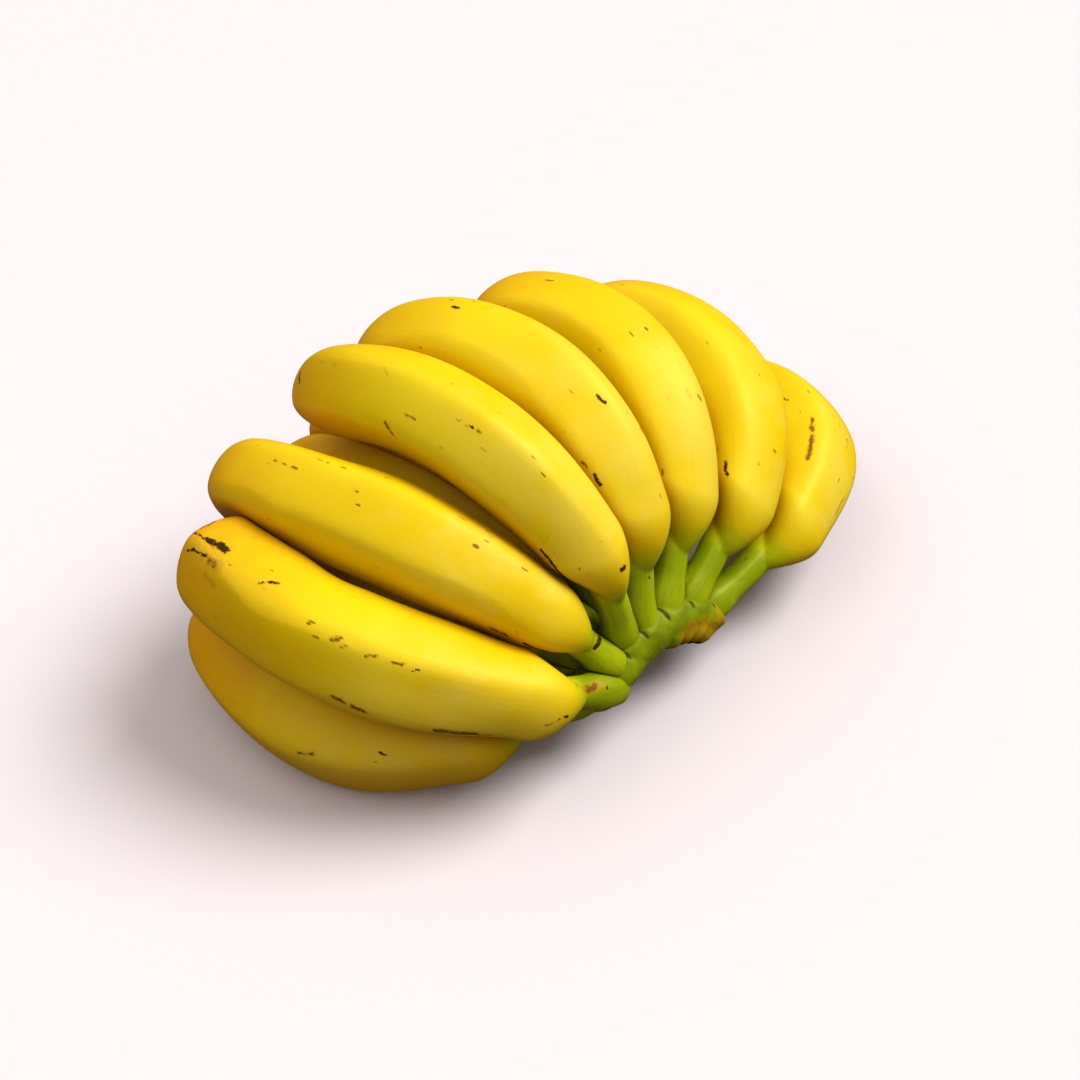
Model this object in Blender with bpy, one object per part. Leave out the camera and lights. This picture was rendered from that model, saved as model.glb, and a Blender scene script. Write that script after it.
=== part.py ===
"""Hand of bananas: two rows of curved fingers growing from one crown, lying on a flat surface.

Metres, +Z up. The fingers arch over a tunnel along X, stalk end at +X and tips at -X. Angles of the
fan are degrees about X, from straight up toward +Y. The origin is under the middle of the hand.
"""
import math

import bmesh
import bpy
import numpy as np
from mathutils import Matrix, Vector

# Crown
CROWN_RADIUS = 0.0365        # arc on which the stems stand
CROWN_THICKNESS = 0.0145     # from the stems' feet to the cut face
CROWN_WIDTH = 0.0275         # along X, under both rows of stems
CROWN_PAST_FIRST = 4.0       # degrees of pad before the first stem
CROWN_PAST_LAST = 11.0       # degrees of pad after the last stem
CROWN_ROOT = 0.0065          # depth of each stem inside the pad's outline
CROWN_SQUARENESS = 3.0       # power of its rounded section
CROWN_END_ROUNDING = 5       # power with which the pad closes in at its ends
CROWN_END_SHARE = 0.35       # of the full section, left at its very ends

# Outer row
OUTER_BODY_LENGTH = 0.125
OUTER_GIRTH = 0.0360         # diameter of the body
# fan and seat angles, foot toward the tips in mm, stem in mm, tilt of the stem toward the tips,
# bends of neck and body, sideways lean and sweep, roll of the ridges, length and girth factors,
# share of the body that closes in to the tip
OUTER_ROW = [
    dict(fan=-103, seat=-64, foot=7, stem=28, tilt=12, neck=34, bend=91, lean=6, sweep=6, roll=20,
         long=0.90, wide=1.00, tip=0.22),
    dict(fan=-69, seat=-54, foot=-1, stem=19, tilt=-7, neck=42, bend=74, lean=1, sweep=14, roll=30,
         long=0.975, wide=1.04, tip=0.12),
    dict(fan=-37, seat=-41, foot=1, stem=21, tilt=0, neck=41, bend=73, lean=2, sweep=-10, roll=-34,
         long=1.00, wide=0.96, tip=0.20),
    dict(fan=-15, seat=-25, foot=2, stem=26, tilt=-17, neck=50, bend=95, lean=2, sweep=-5, roll=0,
         long=1.025, wide=0.92, tip=0.30),
    dict(fan=11, seat=-12, foot=1, stem=25, tilt=-6, neck=38, bend=103, lean=1, sweep=-8, roll=4,
         long=1.01, wide=0.98, tip=0.22),
    dict(fan=34, seat=9, foot=0, stem=24, tilt=1, neck=25, bend=100, lean=-1, sweep=1, roll=-4,
         long=0.92, wide=0.98, tip=0.22),
    dict(fan=55, seat=26, foot=-2, stem=25, tilt=-10, neck=29, bend=100, lean=0, sweep=0, roll=6,
         long=0.93, wide=1.01, tip=0.22),
    dict(fan=74, seat=46, foot=-4, stem=30, tilt=-16, neck=24, bend=112, lean=0, sweep=12, roll=14,
         long=0.85, wide=0.98, tip=0.22),
]

# Inner row: one finger behind each gap of the outer row
INNER_BODY_LENGTH = 0.100
INNER_GIRTH = 0.0300
ROW_SPACING = 0.0105         # between the stems' feet of the two rows
INNER_TILT = 37.0
INNER_NECK = 26.0
INNER_BEND = 52.0
INNER_STEM_SHARE = 0.96      # of its two outer neighbours' mean stem
INNER_SEAT_SHIFT = 4.0       # degrees past the middle of its neighbours' seats
INNER_TIP = 0.22             # share of the body that closes in to the tip
INNER_YIELD = 0.0035         # by how much the inner row gives way where it meets the outer row

# Every finger
STEM_RADIUS = 0.0055
FOOT_FLARE = 0.30            # widening of a stem at the crown, as a share of its radius
FLARE_LENGTH = 0.011
NECK_LENGTH = 0.018
SHOULDER_LEAD = 0.007        # how much sooner the back of the finger swells than its belly
SHOULDER_EASE = 0.8          # power of the shoulder's curve halfway round
SHOULDER_SKEW = 0.25         # change of that power from the belly to the back
BODY_START_SHARE = 0.84      # of the girth, where the neck becomes the body
BODY_SWELL = 0.19            # growth from there to the thickest place
SWELL_EASE = 1.35            # power of that growth, higher is softer
SWELL_END = 0.35             # thickest place, as a share of the body
BODY_TAPER = 0.03            # loss of girth from TAPER_START to the tip
TAPER_START = 0.55
DOME_POWER = 2.4             # shape of the rounded tip
DOME_ROUNDNESS = 0.6
TIP_RADIUS = 0.0046
NUB_LENGTH = 0.0016          # blossom end, past the rounded tip
NUB_TAPER = 0.45             # narrowing of the blossom end
RIDGE_HEIGHT = 0.035         # of the five ridges, as a share of the radius
RIDGE_FADE = 0.6             # loss of the ridges toward the tip
CONTACT_GAP = 0.0007         # between pieces that press on each other
ROOT_GAP = 0.0003            # between a stem and the crown around it

# Lying pose
HAND_ROLL = 8.5              # degrees about X, from the fan's own middle
HAND_PITCH = -8.3            # degrees, tips lowered
REST_PRESS = 0.0008          # depth of the flats where fingers lie on the surface

# Mesh
SECTION_SIDES = 15
PATH_STEP = 0.0015
STEM_RINGS = 4
NECK_RINGS = 5
BODY_RINGS = 8
TIP_RINGS = 5
NUB_RINGS = 2
CROWN_RINGS = 22
CROWN_SIDES = 16
SEARCH_STEPS = 14            # halvings in the search for where two pieces meet
EASING_PASSES = 2            # softening of the edges of the flats
NEIGHBOUR_REACH = 1.5        # girths within which two fingers may touch

PEEL_COLOUR = (0.86, 0.62, 0.03)
INNER_PEEL_COLOUR = (0.78, 0.50, 0.02)
CROWN_COLOUR = (0.24, 0.27, 0.05)

UP = np.array([0.0, 0.0, 1.0])
LEFT = np.array([0.0, 1.0, 0.0])
TIPWARD = np.array([-1.0, 0.0, 0.0])


def clear_scene():
    for item in list(bpy.data.objects):
        bpy.data.objects.remove(item, do_unlink=True)


def new_collection(name):
    collection = bpy.data.collections.new(name)
    bpy.context.scene.collection.children.link(collection)
    return collection


def new_material(name, colour, roughness):
    material = bpy.data.materials.new(name)
    material.use_nodes = True
    shader = material.node_tree.nodes["Principled BSDF"]
    shader.inputs["Base Color"].default_value = (*colour, 1.0)
    shader.inputs["Roughness"].default_value = roughness
    shader.inputs["Metallic"].default_value = 0.0
    material.diffuse_color = (*colour, 1.0)
    return material


def radial(angle):
    """Direction across the fan at an angle in degrees."""
    a = math.radians(angle)
    return math.cos(a) * UP + math.sin(a) * LEFT


def smooth_step(t):
    t = np.clip(t, 0.0, 1.0)
    return t * t * (3.0 - 2.0 * t)


def finger_rows():
    """Every finger as one dictionary: the outer row as listed, the inner row between its neighbours."""
    outer = []
    for n, spec in enumerate(OUTER_ROW):
        finger = dict(spec)
        finger["name"] = "outer_finger_%d" % (n + 1)
        finger["stem"] = spec["stem"] / 1000.0
        finger["foot"] = spec["foot"] / 1000.0
        finger["length"] = OUTER_BODY_LENGTH * spec["long"]
        finger["radius"] = OUTER_GIRTH * spec["wide"] / 2.0
        finger["yield"] = 0.0
        outer.append(finger)
    inner = []
    for n, (a, b) in enumerate(zip(outer[:-1], outer[1:])):
        inner.append(dict(
            name="inner_finger_%d" % (n + 1),
            fan=(a["fan"] + b["fan"]) / 2.0,
            seat=(a["seat"] + b["seat"]) / 2.0 + INNER_SEAT_SHIFT,
            stem=(a["stem"] + b["stem"]) / 2.0 * INNER_STEM_SHARE,
            tilt=INNER_TILT, neck=INNER_NECK, bend=INNER_BEND,
            lean=0.0, sweep=0.0, roll=(a["roll"] + b["roll"]) / 2.0,
            foot=(a["foot"] + b["foot"]) / 2.0 + ROW_SPACING,
            length=INNER_BODY_LENGTH, radius=INNER_GIRTH / 2.0,
            tip=INNER_TIP, **{"yield": INNER_YIELD}))
    return outer + inner


def add_path(finger):
    """Centre line of a finger: points, directions and outward normals at even steps."""
    root = CROWN_ROOT
    body_start = root + finger["stem"] + NECK_LENGTH
    body_end = body_start + finger["length"]
    total = body_end + NUB_LENGTH
    s = np.linspace(0.0, total, int(round(total / PATH_STEP)) + 1)
    along_neck = np.clip(s / body_start, 0.0, 1.0)
    along_body = np.clip((s - body_start) / finger["length"], 0.0, 1.0)
    past_stem = np.clip((s - root - finger["stem"]) / (total - root - finger["stem"]), 0.0, 1.0)
    turn = np.radians(finger["tilt"] + finger["neck"] * along_neck + finger["bend"] * along_body)[:, None]
    side = np.radians(finger["lean"] + finger["sweep"] * past_stem)[:, None]
    out = radial(finger["fan"])
    across = radial(finger["fan"] + 90.0)
    direction = np.cos(side) * (np.cos(turn) * out + np.sin(turn) * TIPWARD) + np.sin(side) * across
    outward = np.sin(turn) * out - np.cos(turn) * TIPWARD
    steps = (direction[1:] + direction[:-1]) / 2.0 * np.diff(s)[:, None]
    foot = CROWN_RADIUS * radial(finger["seat"]) + finger["foot"] * TIPWARD - root * direction[0]
    points = foot + np.vstack([np.zeros(3), np.cumsum(steps, axis=0)])
    finger.update(s=s, points=points, direction=direction, outward=outward,
                  stem_end=root + finger["stem"], body_start=body_start, body_end=body_end)
    finger["radii"] = radius_at(finger, s, 0.0)


def radius_at(finger, s, back):
    """Radius of a finger along its centre line; back is 1 on its convex back and -1 on its belly."""
    lead = SHOULDER_LEAD * back
    shoulder = smooth_step((s - finger["stem_end"] + lead) / NECK_LENGTH)
    shoulder = shoulder ** (SHOULDER_EASE - SHOULDER_SKEW * back)
    along = np.clip((s - finger["body_start"]) / finger["length"], 0.0, 1.0)
    growth = np.sin(math.pi / 2.0 * np.clip(along / SWELL_END, 0.0, 1.0))
    swell = 1.0 + BODY_SWELL * growth ** SWELL_EASE
    late = np.clip((along - TAPER_START) / (1.0 - TAPER_START), 0.0, 1.0)
    swell = swell * (1.0 - BODY_TAPER * late ** 2)
    radius = (STEM_RADIUS + (finger["radius"] * BODY_START_SHARE - STEM_RADIUS) * shoulder) * swell
    closing = 1.0 - np.clip((1.0 - along) / finger["tip"], 0.0, 1.0)
    dome = (1.0 - closing ** DOME_POWER) ** DOME_ROUNDNESS
    nub = np.clip((s - finger["body_end"]) / NUB_LENGTH, 0.0, 1.0)
    flare = 1.0 + FOOT_FLARE * smooth_step(1.0 - (s - CROWN_ROOT) / FLARE_LENGTH)
    return (TIP_RADIUS + (radius - TIP_RADIUS) * dome) * (1.0 - NUB_TAPER * nub ** 3) * flare


def ring_positions(finger):
    """Distances along the centre line at which the finger has rings of vertices."""
    stem = np.linspace(0.0, finger["stem_end"], STEM_RINGS, endpoint=False)
    neck = np.linspace(finger["stem_end"], finger["body_start"], NECK_RINGS, endpoint=False)
    tip_start = finger["body_end"] - finger["tip"] * finger["length"]
    body = np.linspace(finger["body_start"], tip_start, BODY_RINGS, endpoint=False)
    swing = np.sin(np.linspace(0.0, math.pi / 2.0, TIP_RINGS + 1))
    tip = tip_start + (finger["body_end"] - tip_start) * swing
    nub = finger["body_end"] + NUB_LENGTH * np.linspace(0.0, 1.0, NUB_RINGS + 1)[1:]
    return np.concatenate([stem, neck, body, tip, nub])


def nearness(points, finger):
    """Distance from points to the plain round skin of a finger, negative inside it."""
    gaps = np.linalg.norm(points[:, None, :] - finger["points"][None, :, :], axis=2)
    return (gaps - finger["radii"][None, :]).min(axis=1)


def reach(finger, others, origins, rays, wanted):
    """Length of each ray that stays on this finger's own side of every finger beside it."""
    low = np.zeros(len(wanted))
    high = wanted.copy()

    def clear(lengths):
        tips = origins + rays * lengths[:, None]
        own = nearness(tips, finger) + finger["yield"]
        apart = [nearness(tips, other) + other["yield"] - own for other in others]
        return np.min(apart, axis=0) > CONTACT_GAP

    free = clear(high)
    for _ in range(SEARCH_STEPS):
        middle = (low + high) / 2.0
        good = clear(middle)
        low = np.where(good, middle, low)
        high = np.where(good, high, middle)
    return np.where(free, wanted, low)


def eased(share):
    """Softens the edges of the flats: each share is drawn down toward those around it, never up."""
    for _ in range(EASING_PASSES):
        around = (np.roll(share, 1, axis=1) + np.roll(share, -1, axis=1)) / 2.0
        padded = np.pad(share, ((1, 1), (0, 0)), mode="edge")
        along = (padded[:-2] + padded[2:]) / 2.0
        share = np.minimum(share, 0.5 * share + 0.25 * around + 0.25 * along)
    return share


def finger_rings(finger, everyone):
    """Vertices of a finger, ring by ring, flattened where its neighbours press on it."""
    s = ring_positions(finger)
    centre = np.column_stack([np.interp(s, finger["s"], finger["points"][:, k]) for k in range(3)])
    forward = np.column_stack([np.interp(s, finger["s"], finger["direction"][:, k]) for k in range(3)])
    forward /= np.linalg.norm(forward, axis=1)[:, None]
    outward = np.column_stack([np.interp(s, finger["s"], finger["outward"][:, k]) for k in range(3)])
    outward -= forward * (outward * forward).sum(axis=1)[:, None]
    outward /= np.linalg.norm(outward, axis=1)[:, None]
    sideways = np.cross(forward, outward)
    turn = np.radians(np.arange(SECTION_SIDES) * 360.0 / SECTION_SIDES + finger["roll"])
    ridges = np.cos(5.0 * (turn - math.radians(finger["roll"])))
    fullness = smooth_step((s - finger["stem_end"]) / NECK_LENGTH)
    tip_length = finger["tip"] * finger["length"]
    fullness *= 1.0 - RIDGE_FADE * smooth_step((s - finger["body_end"] + tip_length) / tip_length)
    shape = 1.0 + RIDGE_HEIGHT * ridges[None, :] * fullness[:, None]
    wanted = radius_at(finger, s[:, None], np.cos(turn)[None, :]) * shape
    rays = (outward[:, None, :] * np.cos(turn)[None, :, None]
            + sideways[:, None, :] * np.sin(turn)[None, :, None])
    origins = np.repeat(centre, SECTION_SIDES, axis=0)
    span = finger["points"].min(axis=0), finger["points"].max(axis=0)
    margin = OUTER_GIRTH * NEIGHBOUR_REACH
    others = [f for f in everyone if f is not finger
              and np.all(f["points"].min(axis=0) < span[1] + margin)
              and np.all(f["points"].max(axis=0) > span[0] - margin)]
    lengths = reach(finger, others, origins, rays.reshape(-1, 3), wanted.ravel()).reshape(wanted.shape)
    lengths = wanted * eased(lengths / wanted)
    return centre[:, None, :] + rays * lengths[:, :, None]


def crown_rings(outer, grow):
    """Vertices of the crown, ring by ring along its arc; grow makes the cutter for the stems."""
    seats = [finger["seat"] for finger in outer]
    bow = np.polyfit(seats, [finger["foot"] for finger in outer], 2)
    first = min(seats) - CROWN_PAST_FIRST
    last = max(seats) + CROWN_PAST_LAST
    half_thick = CROWN_THICKNESS / 2.0
    half_wide = CROWN_WIDTH / 2.0
    rings = []
    for n in range(CROWN_RINGS):
        t = n / (CROWN_RINGS - 1)
        swing = -math.cos(math.pi * t)
        angle = (first + last) / 2.0 + (last - first) / 2.0 * swing
        closing = math.sqrt(max(0.0, 1.0 - abs(swing) ** CROWN_END_ROUNDING))
        fullness = CROWN_END_SHARE + (1.0 - CROWN_END_SHARE) * closing
        out = radial(angle)
        middle = (CROWN_RADIUS - half_thick) * out
        middle = middle + (np.polyval(bow, angle) + ROW_SPACING / 2.0) * TIPWARD
        end_push = grow * radial(angle + 90.0) * swing
        ring = []
        for k in range(CROWN_SIDES):
            a = 2.0 * math.pi * k / CROWN_SIDES
            ca, sa = math.cos(a), math.sin(a)
            box = (abs(ca) ** CROWN_SQUARENESS + abs(sa) ** CROWN_SQUARENESS) ** (-1.0 / CROWN_SQUARENESS)
            high = (half_thick * fullness + grow) * ca * box
            wide = (half_wide * fullness + grow) * sa * box
            ring.append(middle + out * high + TIPWARD * wide + end_push)
        rings.append(ring)
    return np.array(rings)


def loft(name, rings, collection):
    """Closed solid through rings of equal vertex count, with a flat face at each end."""
    mesh = bpy.data.meshes.new(name)
    build = bmesh.new()
    grid = [[build.verts.new(Vector(p)) for p in ring] for ring in rings]
    sides = len(grid[0])
    for lower, upper in zip(grid[:-1], grid[1:]):
        for k in range(sides):
            j = (k + 1) % sides
            build.faces.new((lower[k], lower[j], upper[j], upper[k]))
    build.faces.new(list(reversed(grid[0])))
    build.faces.new(grid[-1])
    bmesh.ops.triangulate(build, faces=build.faces[:])
    bmesh.ops.recalc_face_normals(build, faces=build.faces[:])
    build.to_mesh(mesh)
    build.free()
    mesh.shade_smooth()
    item = bpy.data.objects.new(name, mesh)
    collection.objects.link(item)
    return item


def cut_root(item, cutter):
    cut = item.modifiers.new("root", "BOOLEAN")
    cut.operation = "DIFFERENCE"
    cut.object = cutter


def main():
    clear_scene()
    hand = new_collection("banana_hand")
    cutters = new_collection("cutters")
    peel = new_material("ripe_peel", PEEL_COLOUR, 0.42)
    inner_peel = new_material("shaded_peel", INNER_PEEL_COLOUR, 0.46)
    wood = new_material("crown_skin", CROWN_COLOUR, 0.62)

    fingers = finger_rows()
    for finger in fingers:
        add_path(finger)
    outer = fingers[:len(OUTER_ROW)]
    shapes = {finger["name"]: finger_rings(finger, fingers) for finger in fingers}
    shapes["crown"] = crown_rings(outer, 0.0)
    shapes["crown_cutter"] = crown_rings(outer, ROOT_GAP)

    roll = Matrix.Rotation(math.radians(-HAND_ROLL), 3, "X")
    lay = np.array(Matrix.Rotation(math.radians(HAND_PITCH), 3, "Y") @ roll)
    shapes = {name: rings @ lay.T for name, rings in shapes.items()}
    solid = np.vstack([rings.reshape(-1, 3) for name, rings in shapes.items() if name != "crown_cutter"])
    low, high = solid.min(axis=0), solid.max(axis=0)
    shift = np.array([(low[0] + high[0]) / 2.0, (low[1] + high[1]) / 2.0, low[2] + REST_PRESS])
    for rings in shapes.values():
        rings -= shift
        rings[..., 2] = np.maximum(rings[..., 2], 0.0)

    cutter = loft("crown_cutter", shapes.pop("crown_cutter"), cutters)
    cutter.hide_render = True
    cutter.display_type = "WIRE"
    for name, rings in shapes.items():
        item = loft(name, rings, hand)
        if name == "crown":
            item.data.materials.append(wood)
        elif name.startswith("outer"):
            item.data.materials.append(peel)
            cut_root(item, cutter)
        else:
            item.data.materials.append(inner_peel)
            cut_root(item, cutter)


main()
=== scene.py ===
import math

import bpy
import numpy as np
from mathutils import Matrix, Vector


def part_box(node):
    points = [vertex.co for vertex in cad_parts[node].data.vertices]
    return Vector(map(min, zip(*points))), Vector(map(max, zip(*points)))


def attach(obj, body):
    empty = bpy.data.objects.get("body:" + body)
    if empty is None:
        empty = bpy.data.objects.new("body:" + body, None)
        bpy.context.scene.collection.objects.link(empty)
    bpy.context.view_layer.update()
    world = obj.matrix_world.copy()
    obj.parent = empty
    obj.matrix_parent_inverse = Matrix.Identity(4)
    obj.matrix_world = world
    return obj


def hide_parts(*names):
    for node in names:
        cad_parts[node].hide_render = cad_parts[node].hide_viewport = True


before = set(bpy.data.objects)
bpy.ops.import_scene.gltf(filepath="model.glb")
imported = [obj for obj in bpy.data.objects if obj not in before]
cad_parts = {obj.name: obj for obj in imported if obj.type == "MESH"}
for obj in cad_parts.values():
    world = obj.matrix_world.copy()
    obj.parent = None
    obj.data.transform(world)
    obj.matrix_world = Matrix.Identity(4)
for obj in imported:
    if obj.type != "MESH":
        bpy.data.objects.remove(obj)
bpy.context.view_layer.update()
print("frame loaded:", len(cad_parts), "nodes")

up = np.array([0.0, 0.0, 1.0])
left = np.array([0.0, 1.0, 0.0])
tipward = np.array([-1.0, 0.0, 0.0])

# the whole hand, metres and degrees
hand = dict(
    crownRadius=0.0365, crownThickness=0.0145, crownWidth=0.0275, crownPast=(4.0, 11.0), crownRoot=0.0065,
    crownSquareness=3, crownEndRounding=5, crownEndShare=0.35, rowSpacing=0.0105,
    stemRadius=0.0055, flare=0.30, flareLength=0.011, neckLength=0.018,
    shoulderLead=0.007, shoulderEase=0.8, shoulderSkew=0.25,
    bodyStartShare=0.84, swell=0.19, swellEase=1.35, swellEnd=0.35, taper=0.03, taperStart=0.55,
    domePower=2.4, domeRoundness=0.6, tipRadius=0.0046, nubLength=0.0016, nubTaper=0.45,
    outerLength=0.125, outerGirth=0.036, innerLength=0.100, innerGirth=0.030,
    innerTilt=37.0, innerNeck=26.0, innerBend=52.0, innerStem=0.96, innerShift=4.0, innerTip=0.22,
    innerTone=0.25, roll=8.5, pitch=-8.3,
)

# skin of a finger: mesh density, ridges, lumps, and how tightly neighbours press
peelShape = dict(
    sides=132, bodyRings=195, domeRings=42, nubRings=6, domeLength=0.016,
    ridge=0.046, sharp=8.0, stemRidge=0.35, neckRidge=0.6, ridgeGrowth=0.025, ridgeTipLoss=0.6,
    lump=0.00040, lumpSize=0.045, tipDents=0.10, tipDentSize=0.004,
    press=0.00012, yieldBy=0.0035, soften=6, coarseRings=76, coarseSides=36, reach=0.045, searchSteps=9,
)

# outer row, in order round the fan. Marks are strokes on the peel: kind, width in mm,
# then points of (share of the body, degrees round from the back)
outerRow = [
    dict(fan=-103, seat=-64, foot=7, stem=28, tilt=12, neck=34, bend=91, lean=6, sweep=6, roll=20,
         long=0.90, wide=1.00, tip=0.22, tone=0.55, marks=[
             ("brown", 1.1, (0.37, 19), (0.33, 24)),
             ("black", 0.7, (0.17, 36), (0.15, 33)),
             ("brown", 0.8, (0.62, -10), (0.60, -6)),
             ("brown", 0.9, (0.48, -48), (0.44, -46)),
         ]),
    dict(fan=-69, seat=-54, foot=-1, stem=19, tilt=-7, neck=42, bend=74, lean=1, sweep=14, roll=30,
         long=0.975, wide=1.04, tip=0.12, tone=0.15, marks=[
             ("black", 2.2, (0.880, 43), (0.865, 45)),
             ("black", 3.1, (0.850, 47), (0.825, 48)),
             ("black", 0.9, (0.95, 36), (0.90, 42), (0.885, 44)),
             ("black", 0.8, (0.95, 46), (0.94, 56), (0.95, 66), (0.97, 56)),
             ("black", 1.0, (0.91, 20), (0.89, 26), (0.84, 31)),
             ("brown", 2.4, (0.83, 29), (0.81, 29)),
             ("rub", 5.0, (0.90, 30), (0.80, 30)),
             ("rub", 2.4, (0.82, 15), (0.78, 12)),
             ("black", 0.8, (0.68, 40), (0.665, 46)),
             ("black", 1.2, (0.66, 48), (0.642, 51)),
             ("rub", 0.6, (0.83, 80), (0.79, 84)),
             ("brown", 0.5, (0.70, 58), (0.68, 60)),
             ("brown", 0.5, (0.655, 61), (0.64, 62)),
             ("brown", 1.6, (0.455, 25), (0.44, 29)),
             ("brown", 0.9, (0.43, 22), (0.42, 25)),
             ("brown", 1.2, (0.37, 22), (0.35, 26)),
             ("brown", 1.2, (0.31, 24), (0.29, 26)),
             ("black", 0.7, (0.265, 23), (0.25, 25)),
             ("brown", 1.2, (0.42, -31), (0.39, -33)),
             ("brown", 1.5, (0.37, -34), (0.34, -36)),
             ("brown", 2.2, (0.18, -41), (0.09, -42)),
             ("black", 0.8, (0.14, -44), (0.05, -44)),
             ("brown", 1.0, (-0.06, -16), (-0.07, -14)),
             ("black", 0.7, (-0.08, -10), (-0.09, -8)),
             ("black", 0.8, (-0.10, -6), (-0.11, -8)),
             ("brown", 0.9, (-0.15, 36), (-0.15, 44)),
             ("brown", 3.0, (-0.205, 34), (-0.23, 40)),
             ("rub", 5.0, (-0.19, 30), (-0.245, 42)),
             ("black", 0.7, (-0.265, 24), (-0.265, 40)),
         ]),
    dict(fan=-37, seat=-41, foot=1, stem=21, tilt=0, neck=41, bend=73, lean=2, sweep=-10, roll=-34,
         long=1.00, wide=0.96, tip=0.20, tone=0.05, marks=[
             ("brown", 0.8, (0.715, 18), (0.70, 19)),
             ("brown", 0.8, (0.69, 18), (0.675, 17)),
             ("brown", 0.9, (0.66, 17), (0.645, 17)),
             ("brown", 0.6, (0.63, 38), (0.60, 37)),
             ("black", 0.7, (0.59, 38), (0.585, 38)),
             ("brown", 0.8, (0.49, 19), (0.48, 19)),
             ("brown", 0.8, (0.47, 4), (0.46, 5)),
             ("brown", 2.0, (0.06, -66), (0.02, -66)),
             ("black", 1.4, (-0.03, -60), (-0.09, -56)),
             ("black", 1.9, (-0.205, 0), (-0.210, 28), (-0.215, 58)),
         ]),
    dict(fan=-15, seat=-25, foot=2, stem=26, tilt=-17, neck=50, bend=95, lean=2, sweep=-5, roll=0,
         long=1.025, wide=0.92, tip=0.30, tone=0.0, marks=[
             ("black", 1.1, (0.88, -24), (0.87, -42)),
             ("rub", 0.8, (0.77, 18), (0.76, 14)),
             ("brown", 0.5, (0.69, -3), (0.67, 2)),
             ("rub", 1.2, (0.785, -18), (0.775, -18)),
             ("rub", 1.2, (0.735, -19), (0.725, -19)),
             ("rub", 0.8, (0.60, -7), (0.575, -15)),
             ("brown", 0.9, (0.50, -47), (0.47, -47)),
             ("brown", 1.0, (0.545, -64), (0.525, -71)),
             ("brown", 1.0, (0.52, -73), (0.505, -80)),
             ("brown", 0.7, (0.385, -22), (0.375, -20)),
             ("black", 1.0, (0.36, -21), (0.345, -18)),
             ("brown", 1.0, (0.335, -19), (0.325, -18)),
             ("brown", 0.8, (0.45, 14), (0.445, 14)),
             ("brown", 0.8, (0.33, 16), (0.325, 17)),
             ("black", 1.5, (-0.09, -2), (-0.095, 6)),
             ("black", 1.6, (0.05, -80), (-0.05, -82)),
         ]),
    dict(fan=11, seat=-12, foot=1, stem=25, tilt=-6, neck=38, bend=103, lean=1, sweep=-8, roll=4,
         long=1.01, wide=0.98, tip=0.22, tone=0.0, marks=[
             ("black", 1.2, (0.64, -17), (0.625, -19)),
             ("rub", 0.8, (0.57, -11), (0.555, -2)),
             ("brown", 0.7, (0.68, -76), (0.675, -76)),
             ("black", 1.4, (0.225, -13), (0.205, -11)),
             ("brown", 1.2, (0.13, 21), (0.115, 23)),
             ("brown", 0.8, (0.17, 8), (0.165, 8)),
             ("brown", 1.0, (0.12, -72), (0.10, -70)),
             ("black", 1.2, (0.08, -67), (0.05, -66)),
             ("black", 0.9, (-0.21, -8), (-0.215, -4)),
         ]),
    dict(fan=34, seat=9, foot=0, stem=24, tilt=1, neck=25, bend=100, lean=-1, sweep=1, roll=-4,
         long=0.92, wide=0.98, tip=0.22, tone=0.0, marks=[
             ("brown", 1.2, (0.72, -35), (0.70, -34)),
             ("rub", 1.4, (0.20, -22), (0.18, -20)),
             ("brown", 1.0, (0.185, -10), (0.17, -6)),
             ("brown", 1.0, (0.15, 10), (0.135, 16)),
             ("rub", 1.2, (0.11, 24), (0.10, 28)),
             ("black", 0.7, (0.45, 52), (0.44, 54)),
         ]),
    dict(fan=55, seat=26, foot=-2, stem=25, tilt=-10, neck=29, bend=100, lean=0, sweep=0, roll=6,
         long=0.93, wide=1.01, tip=0.22, tone=0.05, marks=[
             ("black", 1.3, (0.02, -84), (-0.02, -78)),
             ("brown", 0.8, (0.035, -41), (0.03, -39)),
             ("brown", 0.9, (0.085, -20), (0.08, -18)),
             ("brown", 0.7, (0.30, -30), (0.29, -30)),
             ("rub", 1.6, (0.05, 12), (0.03, 18)),
             ("black", 0.9, (0.38, 40), (0.365, 44)),
         ]),
    dict(fan=74, seat=46, foot=-4, stem=30, tilt=-16, neck=24, bend=112, lean=0, sweep=12, roll=14,
         long=0.85, wide=0.98, tip=0.22, tone=0.12, marks=[
             ("brown", 1.5, (0.30, -73), (0.24, -75)),
             ("brown", 1.8, (0.22, -75), (0.12, -76)),
             ("black", 1.0, (0.285, -18), (0.275, -16)),
             ("rub", 1.6, (0.10, 2), (0.04, 4)),
             ("black", 0.9, (0.46, -92), (0.43, -90)),
             ("brown", 0.8, (0.35, -42), (0.33, -42)),
         ]),
]

innerMarks = [("brown", 1.0, (0.46, 10), (0.45, 12)), ("black", 0.8, (0.62, -24), (0.60, -22))]


def radial(angle):
    a = math.radians(angle)
    return math.cos(a) * up + math.sin(a) * left


def smoothStep(t):
    t = np.clip(t, 0.0, 1.0)
    return t * t * (3.0 - 2.0 * t)


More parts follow.
